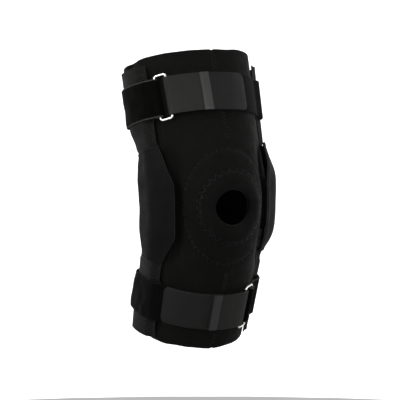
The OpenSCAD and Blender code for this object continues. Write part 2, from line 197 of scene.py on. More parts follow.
def tube_faces(rows, cols, closed=False):
    """Faces between rows of points that each go round once; closed joins the last row to the first."""
    return [[r * cols + c, r * cols + (c + 1) % cols,
             (r + 1) % rows * cols + (c + 1) % cols, (r + 1) % rows * cols + c]
            for r in range(rows if closed else rows - 1) for c in range(cols)]


def solid(name, outer, inner, uv, keep=None, sharp=38, cut=False):
    """A closed mesh between two grids of points; keep picks the cells that are there.

    With cut, the faces of its edges get a second material."""
    rows, cols = outer.shape[:2]
    n = rows * cols
    r, c = np.meshgrid(np.arange(rows - 1), np.arange(cols - 1), indexing="ij")
    corner = r * cols + c
    quads = np.stack([corner, corner + 1, corner + cols + 1, corner + cols], -1)
    quads = quads[keep] if keep is not None else quads.reshape(-1, 4)
    points = np.concatenate([outer.reshape(-1, 3), inner.reshape(-1, 3)])
    edges = np.concatenate([quads[:, [k, (k + 1) % 4]] for k in range(4)])
    there = set(map(tuple, edges.tolist()))
    rim = [(a, b) for a, b in edges.tolist() if (b, a) not in there]
    faces = np.concatenate([quads, quads[:, ::-1] + n, [[b, a, a + n, b + n] for a, b in rim]])
    p = points[faces]
    volume = np.einsum("ij,ij->", p[:, 0], np.cross(p[:, 1], p[:, 2]) + np.cross(p[:, 2], p[:, 3]))
    if volume < 0:
        faces = faces[:, ::-1]
    used = np.unique(faces)
    new = np.zeros(len(points), int)
    new[used] = np.arange(len(used))
    flat = uv.reshape(-1, 2)
    ob = make(name, points[used], new[faces], np.concatenate([flat, flat])[used], sharp)
    if cut:
        index = np.zeros(len(ob.data.polygons), np.int32)
        index[2 * len(quads):] = 1
        ob.data.polygons.foreach_set("material_index", index)
    return ob


def mirrored(points, left):
    """Points of the right side, or their mirror images for the left."""
    return points * np.array([-1, 1, 1]) if left else points


def threads(name, starts, ends, normals, width=0.75, height=0.5):
    """Stitches: a small rounded thread from each start to each end, lying on the cloth."""
    starts, ends, normals = (np.asarray(v, float) for v in (starts, ends, normals))
    d = ends - starts
    length = np.linalg.norm(d, axis=1, keepdims=True)
    d = d / length
    side = np.cross(d, normals)
    side = side / np.linalg.norm(side, axis=1, keepdims=True)
    up = np.cross(side, d)
    places, sizes = [0, 0.14, 0.5, 0.86, 1], [0.35, 0.85, 1, 0.85, 0.35]
    spokes = [(math.cos(a), math.sin(a)) for a in np.arange(6) * math.pi / 3]
    points = np.stack([
        starts + d * length * u + (side * cx * width + up * (cy * height + 0.35 * z)) * z / 2
        for u, z in zip(places, sizes) for cx, cy in spokes], 1)
    m = len(places) * 6
    one = tube_faces(len(places), 6) + [[5, 4, 3, 2, 1, 0], [m - 6 + i for i in range(6)]]
    faces = [[v + m * s for v in f] for s in range(len(starts)) for f in one]
    return make(name, points.reshape(-1, 3), faces, sharp=80)


def up_from(t, phi):
    """The sleeve's outward direction."""
    d = skin(t, phi, 1.0) - skin(t, phi, 0.0)
    return d / np.linalg.norm(d, axis=-1, keepdims=True)


def stitch_line(t, phi, off, pitch, swing, skip=0.35):
    """Starts, ends and normals of a row of stitches along a route; swing makes it zigzag.

    skip is the share of the pitch left between two stitches."""
    t, phi, off = np.broadcast_arrays(*[np.asarray(v, float) for v in (t, phi, off)])
    pts = skin(t, phi, off)
    run = np.concatenate([[0], np.cumsum(np.linalg.norm(np.diff(pts, axis=0), axis=1))])
    count = max(int(run[-1] / pitch), 1)
    starts = np.linspace(0, run[-1], count + 1)[:-1]
    stops = starts + run[-1] / count * (1 - skip)

    def place(s, shift):
        p = np.stack([np.interp(s, run, pts[:, k]) for k in range(3)], -1)
        tt, pp = np.interp(s, run, t), np.interp(s, run, phi)
        ahead = np.stack([np.interp(s + 0.5, run, pts[:, k]) - np.interp(s - 0.5, run, pts[:, k])
                          for k in range(3)], -1)
        n = up_from(tt, pp)
        across = np.cross(ahead, n)
        across = across / np.linalg.norm(across, axis=1, keepdims=True)
        return p + across * shift[:, None], n

    turn = np.where(np.arange(count) % 2, 1.0, -1.0) * swing
    a, n = place(starts, turn)
    b, _ = place(stops, -turn)
    return a, b, n


# ---------- materials ----------

class Nodes:
    """A material's node tree, built a node at a time."""

    def __init__(self, name):
        self.mat = bpy.data.materials.new(name)
        self.mat.use_nodes = True
        self.tree = self.mat.node_tree
        self.tree.nodes.clear()
        self.out = self.add("ShaderNodeOutputMaterial")
        self.shader = self.add("ShaderNodeBsdfPrincipled")
        self.link(self.shader.outputs[0], self.out.inputs[0])

    def add(self, kind, **settings):
        node = self.tree.nodes.new(kind)
        for key, value in settings.items():
            setattr(node, key, value)
        return node

    def link(self, a, b):
        self.tree.links.new(a, b)

    def feed(self, socket, value):
        """Links a socket to a socket, or sets it to a constant."""
        if isinstance(value, bpy.types.NodeSocket):
            self.link(value, socket)
        else:
            socket.default_value = value

    def maths(self, operation, a, b=0.0, c=0.0):
        node = self.add("ShaderNodeMath", operation=operation)
        for socket, value in zip(node.inputs, (a, b, c)):
            self.feed(socket, value)
        return node.outputs[0]

    def noise(self, vector, scale, detail=2.0, rough=0.5):
        node = self.add("ShaderNodeTexNoise")
        self.link(vector, node.inputs["Vector"])
        node.inputs["Scale"].default_value = scale
        node.inputs["Detail"].default_value = detail
        node.inputs["Roughness"].default_value = rough
        return node.outputs["Fac"]

    def spread(self, value, low, high, out_low=0.0, out_high=1.0):
        node = self.add("ShaderNodeMapRange")
        for socket, v in zip(node.inputs, (value, low, high, out_low, out_high)):
            self.feed(socket, v)
        return node.outputs[0]

    def blend(self, fac, a, b):
        node = self.add("ShaderNodeMix", data_type="RGBA")
        self.feed(node.inputs["Factor"], fac)
        for socket, value in ((node.inputs[6], a), (node.inputs[7], b)):
            self.feed(socket, value if isinstance(value, bpy.types.NodeSocket) else (*value, 1))
        return node.outputs[2]

    def bump(self, height, strength, distance, under=None):
        node = self.add("ShaderNodeBump")
        node.inputs["Strength"].default_value = strength
        node.inputs["Distance"].default_value = distance
        self.link(height, node.inputs["Height"])
        if under is not None:
            self.link(under, node.inputs["Normal"])
        return node.outputs[0]

    def where(self):
        return self.add("ShaderNodeTexCoord").outputs["Object"]

    def cloth(self):
        """(along, across) in metres, from the mesh's own cloth coordinates."""
        split = self.add("ShaderNodeSeparateXYZ")
        self.link(self.add("ShaderNodeUVMap", uv_map="cloth").outputs[0], split.inputs[0])
        return split.outputs[0], split.outputs[1]

    def wave(self, value, pitch, phase=0.0):
        """A sine wave from 0 to 1 with that pitch in metres."""
        turned = self.maths("MULTIPLY_ADD", value, 2 * math.pi / pitch, phase)
        return self.maths("MULTIPLY_ADD", self.maths("SINE", turned), 0.5, 0.5)

    def finish(self, colour, rough, normal=None, **constants):
        """Sets the shader's sockets; constants are named with _ for each space."""
        self.feed(self.shader.inputs["Base Color"], colour)
        self.feed(self.shader.inputs["Roughness"], rough)
        if normal is not None:
            self.link(normal, self.shader.inputs["Normal"])
        for key, value in constants.items():
            self.shader.inputs[key.replace("_", " ")].default_value = value
        return self.mat


# Pitches and depths of weaves are in metres, and colours are linear.
KNIT_ROUGH, KNIT_DEPTH = (0.66, 0.82), 0.00012


def knit(name, dark, light, sheen=0.016, specular=0.045, pitch=0.0011):
    """Jersey over foam: fine ribs of loops, soft mottling and a little dust in the nap."""
    m = Nodes(name)
    u, v = m.cloth()
    p = m.where()
    rows = m.maths("MULTIPLY_ADD", m.wave(v, pitch * 0.8), 0.6, 0.4)
    loops = m.maths("MULTIPLY", m.wave(u, pitch), rows)
    fuzz = m.noise(p, 1900, 2.0, 0.6)
    broad = m.noise(p, 26, 3.0, 0.55)
    middle = m.noise(p, 170, 2.0, 0.5)
    tone = m.maths("MULTIPLY_ADD", loops, 0.3, m.maths("MULTIPLY", broad, 0.5))
    tone = m.maths("MULTIPLY_ADD", middle, 0.35, tone)
    colour = m.blend(m.spread(tone, 0.2, 0.85), dark, light)
    height = m.maths("MULTIPLY_ADD", fuzz, 0.7, loops)
    normal = m.bump(height, 0.7, KNIT_DEPTH)
    normal = m.bump(middle, 0.25, 0.0006, normal)
    mat = m.finish(colour, m.spread(middle, 0.3, 0.7, *KNIT_ROUGH), normal,
                   Sheen_Weight=sheen, Sheen_Roughness=0.5, Specular_IOR_Level=specular)
    m.shader.inputs["Sheen Tint"].default_value = (0.75, 0.8, 0.78, 1)
    return mat


# A painted highlight along both edges of a woven tape, and how many metres it takes to begin.
EDGE_HIGHLIGHT_COLOUR, EDGE_HIGHLIGHT_FADE = (0.03, 0.032, 0.028), 0.0003


def webbing(name, dark, light, pitch, kind, rough=(0.55, 0.72), specular=0.07, sheen=0.01,
            depth=0.0003, edge_highlight=None):
    """Woven tape: twill makes diamonds, rib makes cross ribs, satin is close and smooth.

    The last keyword is how far from its middle the painted highlight along its edges starts."""
    m = Nodes(name)
    u, v = m.cloth()
    p = m.where()
    if kind == "twill":
        across = m.maths("PINGPONG", v, pitch * 2)
        diagonal = m.maths("ADD", u, across)
        weave = m.wave(diagonal, pitch)
        fine = m.wave(v, pitch / 3)
    elif kind == "rib":
        weave = m.wave(u, pitch)
        fine = m.wave(v, pitch / 2)
    else:
        weave = m.maths("MULTIPLY", m.wave(u, pitch), m.wave(v, pitch))
        fine = m.wave(m.maths("ADD", u, v), pitch)
    fuzz = m.noise(p, 1400, 2.0, 0.6)
    broad = m.noise(p, 45, 3.0, 0.55)
    height = m.maths("MULTIPLY_ADD", fine, 0.3, m.maths("MULTIPLY_ADD", fuzz, 0.3, weave))
    tone = m.maths("MULTIPLY_ADD", broad, 0.35, m.maths("MULTIPLY", weave, 0.65))
    colour = m.blend(m.spread(tone, 0.12, 0.8), dark, light)
    # Both edges get a paler colour: a painted highlight where the rounded edges catch light.
    if edge_highlight:
        lit_edge = m.spread(m.maths("ABSOLUTE", v), edge_highlight - EDGE_HIGHLIGHT_FADE, edge_highlight)
        colour = m.blend(lit_edge, colour, EDGE_HIGHLIGHT_COLOUR)
    return m.finish(colour, m.spread(broad, 0.3, 0.7, *rough), m.bump(height, 0.8, depth),
                    Sheen_Weight=sheen, Sheen_Roughness=0.4, Specular_IOR_Level=specular)


def metal(name, dark, light, rough, brushed=0.0):
    """Steel or nickel with fine scratches, deeper where it is brushed."""
    m = Nodes(name)
    p = m.where()
    scratches = m.noise(p, 900, 3.0, 0.7)
    broad = m.noise(p, 60, 2.0, 0.5)
    colour = m.blend(broad, dark, light)
    worn = m.maths("MULTIPLY_ADD", scratches, 0.5, broad)
    return m.finish(colour, m.spread(worn, 0.3, 1.2, *rough),
                    m.bump(scratches, 0.15 + brushed, 0.00003), Metallic=1.0)


def plastic(name, dark, light, rough=(0.4, 0.55)):
    """Moulded or cut plastic and foam with a fine grain."""
    m = Nodes(name)
    p = m.where()
    grain = m.noise(p, 1500, 2.0, 0.5)
    broad = m.noise(p, 80, 2.0, 0.5)
    return m.finish(m.blend(broad, dark, light), m.spread(broad, 0.3, 0.7, *rough),
                    m.bump(grain, 0.2, 0.00006), Specular_IOR_Level=0.4)


NEOPRENE_MAT = knit("neoprene_jersey", (0.0012, 0.0013, 0.0011), (0.0034, 0.0036, 0.003))
COVER_MAT = knit("cover_jersey", (0.0014, 0.0014, 0.0014), (0.0038, 0.0039, 0.0038),
                 sheen=0.028, specular=0.055)
RING_MAT = knit("buttress_jersey", (0.0012, 0.0012, 0.0011), (0.0032, 0.0033, 0.0029), sheen=0.018)
BACK_MAT = knit("stretch_jersey", (0.0014, 0.0014, 0.0014), (0.004, 0.0041, 0.0039), pitch=0.0016)
POCKET_MAT = webbing("pocket_twill", (0.0005, 0.0006, 0.0004), (0.0074, 0.0078, 0.0069), 0.0029, "twill",
                     sheen=0.006)
RIB_MAT = webbing("pocket_rib", (0.0008, 0.0009, 0.0008), (0.0078, 0.0084, 0.008), 0.0026, "rib",
                  sheen=0.006)
# The elastic gets a painted highlight along both its edges.
ELASTIC_MAT = webbing("knit_elastic", (0.0004, 0.0005, 0.0003), (0.0014, 0.0017, 0.0011), 0.0012, "rib",
                      rough=(0.8, 0.95), specular=0.03, sheen=0.012, edge_highlight=(STRAP_W / 2 - 1.1) * MM)
BASE_MAT = webbing("loop_strap", (0.001, 0.001, 0.001), (0.0036, 0.0038, 0.0036), 0.0014, "satin",
                   rough=(0.85, 0.95), specular=0.03, sheen=0.03)
TAIL_MAT = webbing("strap_webbing", (0.0045, 0.0047, 0.0042), (0.0082, 0.0085, 0.0077), 0.0009, "satin",
                   rough=(0.5, 0.62), specular=0.16, sheen=0.015, depth=0.0001)
TAB_MAT = webbing("hook_tape", (0.0036, 0.0037, 0.0035), (0.0062, 0.0064, 0.006), 0.0011, "satin",
                  rough=(0.48, 0.6), specular=0.14, sheen=0.012, depth=0.00012)
BAND_MAT = plastic("welded_band", (0.009, 0.009, 0.0084), (0.016, 0.0162, 0.0148), (0.36, 0.4))
# The calf strap's welded band is the same band in a darker copy: painted shade.
SHADED_BAND_MAT = plastic("calf_welded_band_shaded", (0.006, 0.0061, 0.0058), (0.012, 0.0122, 0.0117), (0.35, 0.5))
THREAD_MAT = webbing("thread", (0.004, 0.004, 0.004), (0.013, 0.013, 0.0125), 0.0005, "satin",
                     rough=(0.4, 0.6))
PAD_MAT = knit("pad_foam", (0.008, 0.008, 0.008), (0.02, 0.02, 0.02))
CUT_MAT = plastic("cut_foam", (0.003, 0.003, 0.003), (0.008, 0.008, 0.0078), (0.7, 0.9))
HEM_MAT = webbing("tape_edge", (0.012, 0.0125, 0.0115), (0.03, 0.031, 0.029), 0.0012, "satin")
BAR_MAT = metal("bar_steel", (0.42, 0.43, 0.44), (0.6, 0.61, 0.62), (0.28, 0.42), 0.1)
PLATE_MAT = metal("plate_steel", (0.38, 0.39, 0.4), (0.55, 0.56, 0.57), (0.3, 0.45), 0.1)
RIVET_MAT = metal("rivet_steel", (0.35, 0.35, 0.36), (0.5, 0.5, 0.51), (0.25, 0.4))
WIRE_MAT = metal("nickel_wire", (0.62, 0.61, 0.58), (0.8, 0.79, 0.76), (0.12, 0.25))
TIP_MAT = plastic("tip_plastic", (0.006, 0.006, 0.006), (0.012, 0.012, 0.012))


def dress(ob, mat, cut=None):
    """Gives a piece its material and slot, and another material on its cut edges."""
    index = np.zeros(len(ob.data.polygons), np.int32)
    ob.data.polygons.foreach_get("material_index", index)
    ob.data.materials.clear()
    ob.data.materials.append(mat)
    if cut:
        ob.data.materials.append(cut)
        ob.data.polygons.foreach_set("material_index", index)
    return ob


# ---------- the sleeve ----------

# Where cloth leaves its leg part, and where it has reached the hinge: mm from the knee.
FRONT_BEND, BACK_BEND, COVER_BEND = (78, 30), (84, 18), (44, 9)


def upper_blend(ob, far, near, hinge="hinge_right"):
    """Bakes the cloth's placement into its mesh; far and near are not used."""
    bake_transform(ob)


def lower_blend(ob, far, near):
    """Bakes the cloth's placement into its mesh; far and near are not used."""
    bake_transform(ob)


# The raised oval round the kneecap: half its width and height, and what a millimetre round
# the leg and one up the leg count for in them.
OVAL = (45.6, 53.0)
OVAL_SEEN = (0.93, 1.2)


def oval_in(t, phi):
    """How far inside the raised oval round the kneecap a place is: 1 at its middle, 0 at its edge."""
    x = half_w(0) * np.radians(phi) * OVAL_SEEN[0]
    return 1 - np.hypot(x / OVAL[0], t * OVAL_SEEN[1] / OVAL[1])


def spring(t, phi, left=True):
    """How far straps and pockets stand off the left of the leg, toward the back."""
    if not left:
        return 0.0 * t
    turned = np.exp(-((np.abs(phi) - 100) / 24) ** 2)
    return turned * (4.6 * ease((t - 58) / 26) + 3.2 * ease((-t - 70) / 20))


def kneecap(t, phi):
    """How far the kneecap pushes the front out."""
    return 7.5 * np.exp(-(np.radians(phi) * 55 / 36) ** 2 - (t / 40) ** 2)


def relief(t, phi):
    """Height of the sleeve's outside above its CAD surface: padding, seams and creases."""
    phi = (np.asarray(phi, float) + 180) % 360 - 180
    y = side_y(t, phi)
    # 1 away from the pockets at the sides, and 1 away from the straps
    open_cloth = ease((np.abs(y) - 21) / 8)
    off_strap = np.where(t > 0, ease((83 - t) / 10) + ease((t - 127) / 8),
                         ease((75 + t) / 10) + ease((-118 - t) / 8))
    # the oval with its sewn edge, and the seam up the front outside it
    oval = oval_in(t, phi)
    raised = 1.3 * ease(oval / 0.055) * (np.abs(phi) < 80)
    groove = -0.85 * np.exp(-(oval / 0.024) ** 2) * (np.abs(phi) < 80)
    seam = -0.5 * np.exp(-(np.radians(phi) * 55 / 1.3) ** 2) * np.where(oval > 0, 0.0, 1.0)
    # soft waves of the foam
    soft = 0.55 * noise(t / 46, phi / 42, 3) + 0.2 * noise(t / 17, phi / 15, 4)
    puff = 0.9 * (0.35 + 0.65 * soft) * open_cloth * np.clip(off_strap, 0, 1)
    # creases behind the knee, and slanting pulls beside the kneecap
    behind = ease((np.abs(phi) - 105) / 40)
    folds = np.abs(np.sin((t + 5 * noise(phi / 34, t / 60, 9)) * math.pi / 17))
    crease = behind * ease((62 - np.abs(t)) / 35) * (-1.5 * folds ** 0.7)
    pulls = -0.5 * (0.5 + 0.5 * np.sin((t * 0.55 - np.abs(phi) * 1.1) / 5.2))
    front_pull = (pulls * ease((np.abs(phi) - 34) / 10) * ease((68 - np.abs(phi)) / 12)
                  * ease((78 - np.abs(t)) / 12))
    # pressed in by the straps and beside the kneecap, and flared at the top of the left side
    strapped = (1 - np.clip(off_strap, 0, 1)) * -0.25
    dip = -4.5 * np.exp(-((np.abs(phi) - 57) / 9) ** 2) * ease((60 - np.abs(t)) / 24)
    flare = 5.0 * np.exp(-((phi + 112) / 30) ** 2) * ease((t - 126) / 24)
    flare = flare * ease((np.abs(y) - 12) / 10 + ease((t - 143) / 6))
    return raised + groove + seam + puff + crease + front_pull + strapped + dip + flare + kneecap(t, phi)


SLEEVE_STEP, RIM_EDGE, RIM_ROUND = 1.7, 1.4, 0.7
# How much of the outside's relief the inside has too.
INSIDE_SHARE = 0.6


def sleeve(name, t_low, t_high, phis):
    """A quarter of the sleeve: a curved slab of neoprene, with a rim at an end of the brace.

    The front quarters leave room for the kneecap opening."""
    length = t_high - t_low
    top, bottom, front = t_high > 0, t_low < 0, phis[0] < 0
    rows = line(0, 1, SLEEVE_STEP / length, RIM_EDGE / length)
    v, phi = np.meshgrid(rows, phis, indexing="ij")
    low, high = np.full_like(phi, t_low), np.full_like(phi, t_high)
    seam = np.exp(-np.abs(phi) / 0.9)
    turned = (phi + 180) % 360 - 180
    if top:
        high = high - 1.6 * seam + 0.5 * noise(phi / 30, phi * 0, 21)
        high = high + 1.6 * np.exp(-((turned - 42) / 26) ** 2)
        to_rim = 1 - v
    if bottom:
        low = low - 2.2 * ease(1 - np.abs(phi) / 46) + 1.2 * seam - 0.4 * noise(phi / 30, phi * 0, 22)
        low = low - 2.6 * np.exp(-((turned + 62) / 34) ** 2)
        to_rim = v
    t = mix(low, high, v)
    h = round_edge(to_rim * length, NEOPRENE / 2, RIM_ROUND)
    keep = None
    if front:
        hole = PATELLA_R + 2
        far = np.hypot(half_w(0) * sin(phi), t * FRONT_SPREAD)
        middle = (far[:-1, :-1] + far[1:, :-1] + far[:-1, 1:] + far[1:, 1:]) / 4
        keep = middle > hole
        pad = np.pad(keep, 1, constant_values=True)
        near_cell = np.stack([pad[:-1, :-1], pad[1:, :-1], pad[:-1, 1:], pad[1:, 1:]])
        rim = near_cell.any(0) & ~near_cell.all(0)
        k = np.where(rim, hole / np.maximum(far, 1e-6), 1.0)
        on_rim = np.degrees(np.arcsin(np.clip(sin(phi) * k, -1, 1)))
        t, phi = t * k, np.where(rim, on_rim, phi)
    rise = relief(t, phi)
    outer = skin(t, phi, rise - NEOPRENE / 2 + h)
    inner = skin(t, phi, rise * INSIDE_SHARE - NEOPRENE / 2 - h)
    uv = np.stack([phi / DEG_MM, t], -1)
    return solid(name, outer, inner, uv, keep, cut=True)


half_front = np.concatenate([np.arange(0, 4, 0.75), np.arange(4, 40, 1.3), np.linspace(40, 90, 27)])
FRONT = np.concatenate([-half_front[::-1], half_front[1:]])
BACK = np.linspace(90, 270, 91)
SLEEVE_NODES = {
    "sleeve_front_upper": ("thigh_sleeve", "upper_gusset"),
    "sleeve_back_upper": ("popliteal_panel",),
    "sleeve_front_lower": ("calf_sleeve", "lower_gusset"),
    "sleeve_back_lower": ("knee_panel",),
}
for name, nodes in SLEEVE_NODES.items():
    upper, back = "upper" in name, "back" in name
    ob = sleeve(name, *((0, THIGH_LEN) if upper else (-CALF_LEN, 0)), BACK if back else FRONT)
    dress(ob, BACK_MAT if back else NEOPRENE_MAT, CUT_MAT)
    bend = BACK_BEND if back else FRONT_BEND
    if upper:
        upper_blend(ob, *bend)
    else:
        lower_blend(ob, *bend)
    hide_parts(*nodes)


# How far up or down the front the middle seam's stitches run: from the oval to the strap, and
# from the strap to near the rim.
UPPER_RUNS = ((52.5, 83.2), (125, THIGH_LEN - 3))
LOWER_RUNS = ((52.5, 75.2), (117, CALF_LEN - 3))
SEAM_HALF = 2.1


def front_stitches(name, upper):
    """Flat-locked seam up the middle of the front, and the zigzag round the raised oval."""
    sign = 1 if upper else -1
    rows = []
    for low, high in UPPER_RUNS if upper else LOWER_RUNS:
        t = sign * np.linspace(low, high, 40)
        for shift in (-SEAM_HALF, SEAM_HALF):
            phi = np.full_like(t, shift * DEG_MM)
            rows.append(stitch_line(t, phi, relief(t, phi) + 0.15, 2.6, 0.0))
        rows.append(stitch_line(t, t * 0, relief(t, t * 0) + 0.35, 1.9, 1.7, skip=0.0))
    turn = np.radians(np.linspace(1, 179, 90)) * sign
    phi = np.degrees(OVAL[0] * np.cos(turn) / (half_w(0) * OVAL_SEEN[0]))
    t = OVAL[1] * np.sin(turn) / OVAL_SEEN[1]
    rows.append(stitch_line(t, phi, relief(t, phi) + 0.35, 2.9, 2.2, skip=0.1))
    return threads(name, *(np.concatenate(column) for column in zip(*rows)))


ob = dress(front_stitches("front_stitching_upper", True), THREAD_MAT)
upper_blend(ob, *FRONT_BEND)
ob = dress(front_stitches("front_stitching_lower", False), THREAD_MAT)
lower_blend(ob, *FRONT_BEND)

# ---------- the buttress round the kneecap opening ----------

# Half the ring's width and half its height at its outer edge, and where its stitched groove is.
RING_OUT = (34, 39)
RING_GROOVE = 0.86


def ring_place(v, turn):
    """t and phi at a share v of the way from the opening to the ring's outer edge."""
    t = mix(PATELLA_R, RING_OUT[1], v) * cos(turn) / FRONT_SPREAD
    phi = np.degrees(np.arcsin(mix(PATELLA_R, RING_OUT[0], v) * sin(turn) / half_w(0)))
    return t, phi


def ring_crown(v):
    """The ring's height: a dome with a groove near its outer edge."""
    dome = np.sin(math.pi * np.clip(v, 0, 1) ** 0.9) ** 0.72
    groove = 1.2 * np.exp(-((v - RING_GROOVE) / 0.05) ** 2)
    return 1.6 + 3.4 * dome - groove


# The ring's section, (v, height): over the crown, down through the opening, and back under it.
turns = np.arange(0, 360, 2.0)
crown_v = np.concatenate([[0.995, 0.985, 0.97], np.linspace(0.95, 0.06, 40), [0.04, 0.02, 0.008]])
profile = [(1.0, 0.9)] + [(v, float(ring_crown(v))) for v in crown_v]
profile += [(0.0, 1.2), (0.0, -0.6), (0.0, -2.4), (0.01, -3.0), (0.035, -3.3), (0.07, -3.2)]
profile += [(0.08, 0.4), (0.9, 0.5)]
pv, pt = np.meshgrid(np.array([p[0] for p in profile]), turns, indexing="ij")
po = np.broadcast_to(np.array([p[1] for p in profile])[:, None], pv.shape).copy()
pucker = 0.22 * np.cos(np.radians(pt) * 60) * np.exp(-((pv - RING_GROOVE) / 0.1) ** 2) * (po > 1.0)
wobble = 0.25 * noise(np.cos(np.radians(pt)) * 1.4 + pv, np.sin(np.radians(pt)) * 1.4, 31) * (po > 1.5)
place_t, place_phi = ring_place(pv, pt)
points = skin(place_t, place_phi, po + pucker + wobble + kneecap(place_t, place_phi))
ring_uv = np.stack([pt * 0.45, pv * 18], -1).reshape(-1, 2)
ob = make("patella_buttress", points.reshape(-1, 3), tube_faces(*pv.shape, closed=True), ring_uv, sharp=60)
face_out(ob)
dress(ob, RING_MAT)
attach(ob, "hinge_right")
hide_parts("patella_ring")

# Zigzag stitches across the groove.
RING_STITCHES = 60
odd = np.arange(RING_STITCHES) % 2
step = 360 / RING_STITCHES
base = np.arange(RING_STITCHES) * step
ends = []
for v, at in ((np.where(odd, 0.97, 0.74), base), (np.where(odd, 0.74, 0.97), base + step * 0.95)):
    place_t, place_phi = ring_place(v, at)
    off = ring_crown(v) + 0.25
    ends.append(skin(place_t, place_phi, off + kneecap(place_t, place_phi)))
stitches = threads("buttress_stitching", *ends, up_from(place_t, place_phi), 0.8, 0.5)
ob = dress(stitches, THREAD_MAT)
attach(ob, "hinge_right")

# ---------- hinge covers ----------

# A cover's own coordinates are u, from -1 at its bottom to 1 at its top, and y toward the back.
# Its edge's rounding, how far in its seam is, how much thinner its back is (a share), and how
# far each of its halves reaches past the knee's middle.
COVER_ROUND, COVER_SEAM, BACK_THIN, HALVES_OVERLAP = 0.9, 3.2, 0.35, 0.02


def cover_front(u):
    """How far forward of its middle a cover reaches."""
    return np.interp(u, [-1, -0.5, 0.34, 1], [19.5, 34, 34, 22])


def cover_back(u):
    """How far back of its middle a cover reaches."""
    return np.interp(np.abs(u), [0, 0.5, 1], [31, 29, 21])


def cover_in(t, u, y):
    """Height of a cover's inside above the sleeve: flat over the hinge, falling to its edges."""
    flat = np.where(y > 0, 7, mix(17, 12, ease((np.abs(t) - 24) / 24)))
    held = np.clip(y, -flat, flat)
    fall = half_w(t) * (1 - np.sqrt(1 - (held / depth(t, np.where(y < 0, 0, 180))) ** 2))
    crown = mix(11.8, 7.6, ease((np.abs(t) - 24) / 32)) + fall
    edge = np.where(y > 0, GAP, mix(5.5, 2.5, ease((np.abs(u) - 0.36) / 0.64)))
    w = np.where(y > 0, cover_back(u), cover_front(u))
    start = np.where(y < 0, flat - 5, flat)
    return mix(crown, edge, ease((np.abs(y) - start) / (w - start)))


def cover_blend(ob, left, upper):
    """Bakes a cover half's placement into its mesh, the upper half through upper_blend and the lower
    through lower_blend.
    """
    if upper:
        upper_blend(ob, *COVER_BEND, "hinge_left" if left else "hinge_right")
    else:
        lower_blend(ob, *COVER_BEND)


def cover(side, upper):
    """Half of the padded cover over a hinge."""
    left = side == "left"
    low, high = COVER_ENDS[side]
    t_ends = (-HALVES_OVERLAP, high) if upper else (low, HALVES_OVERLAP)
    t, v = np.meshgrid(line(*t_ends, 1.5, 1.8), line(-1, 1, 0.04, 0.055), indexing="ij")
    u = 2 * (t - low) / (high - low) - 1
    w = np.where(v < 0, cover_front(u), cover_back(u))
    y = v * w
    edge_v = (1 - np.abs(v)) * w
    edge_t = high - t if upper else t - low
    d = np.minimum(edge_v, edge_t)
    seam = 0.22 * np.exp(-((d - COVER_SEAM) / 0.7) ** 2)
    puff = -0.9 + 0.6 * ease((d - 3) / 9) * (1 + 0.5 * noise(t / 30, y / 26, 40 + left))
    behind = ease((y - 1) / 4)
    under = GAP + (cover_in(t, u, y) - GAP) * (1 - 0.15 * behind)
    thin = 1 - BACK_THIN * behind
    h = round_edge(d, COVER_T / 2, COVER_ROUND) * thin
    curl = 3.4 * ease((11 - edge_v) / 11) * (v < 0) * ease((u - 0.3) / 0.35)
    middle = under + COVER_T / 2 * thin + curl * 0.6
    outer = skin(t, side_phi(t, y), middle + h + puff - seam)
    inner = skin(t, side_phi(t, y), middle - h)
    name = f"{side}_cover_{'upper' if upper else 'lower'}"
    ob = solid(name, mirrored(outer, left), mirrored(inner, left), np.stack([y, t], -1), cut=True)
    dress(ob, COVER_MAT, CUT_MAT)
    cover_blend(ob, left, upper)
    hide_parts(f"{side}_hinge_cover")


def cover_stitches(side, upper):
    """The row of stitches along a cover's back edge."""
    left = side == "left"
    low, high = COVER_ENDS[side]
    t = np.linspace(0, high - 4, 60) if upper else np.linspace(low + 4, 0, 60)
    u = 2 * (t - low) / (high - low) - 1
    y = cover_back(u) - COVER_SEAM
    off = cover_in(t, u, y) + COVER_T * 0.65 - 0.9
    row = stitch_line(t, side_phi(t, y), off, 3.0, 0.0, skip=0.3)
    ob = threads(f"{side}_cover_stitching_{'upper' if upper else 'lower'}",
                 *(mirrored(column, left) for column in row), 0.6, 0.4)
    dress(ob, THREAD_MAT)
    cover_blend(ob, left, upper)


for side in ("left", "right"):
    for upper in (True, False):
        cover(side, upper)
        cover_stitches(side, upper)

# ---------- pockets for the bars ----------


def pocket_in(t, y):
    """Height of a pocket's inside above the sleeve: over the bar, and down at the edges."""
    return GAP + (bar_out(t) - half_w(t) + POCKET_CLEAR - GAP) * ease((POCKET_W / 2 - 1 - np.abs(y)) / 7)


# How far a pocket's end is tucked under the cover, and the t of its top.
UNDER_COVER, POCKET_TOP = 3.5, 141


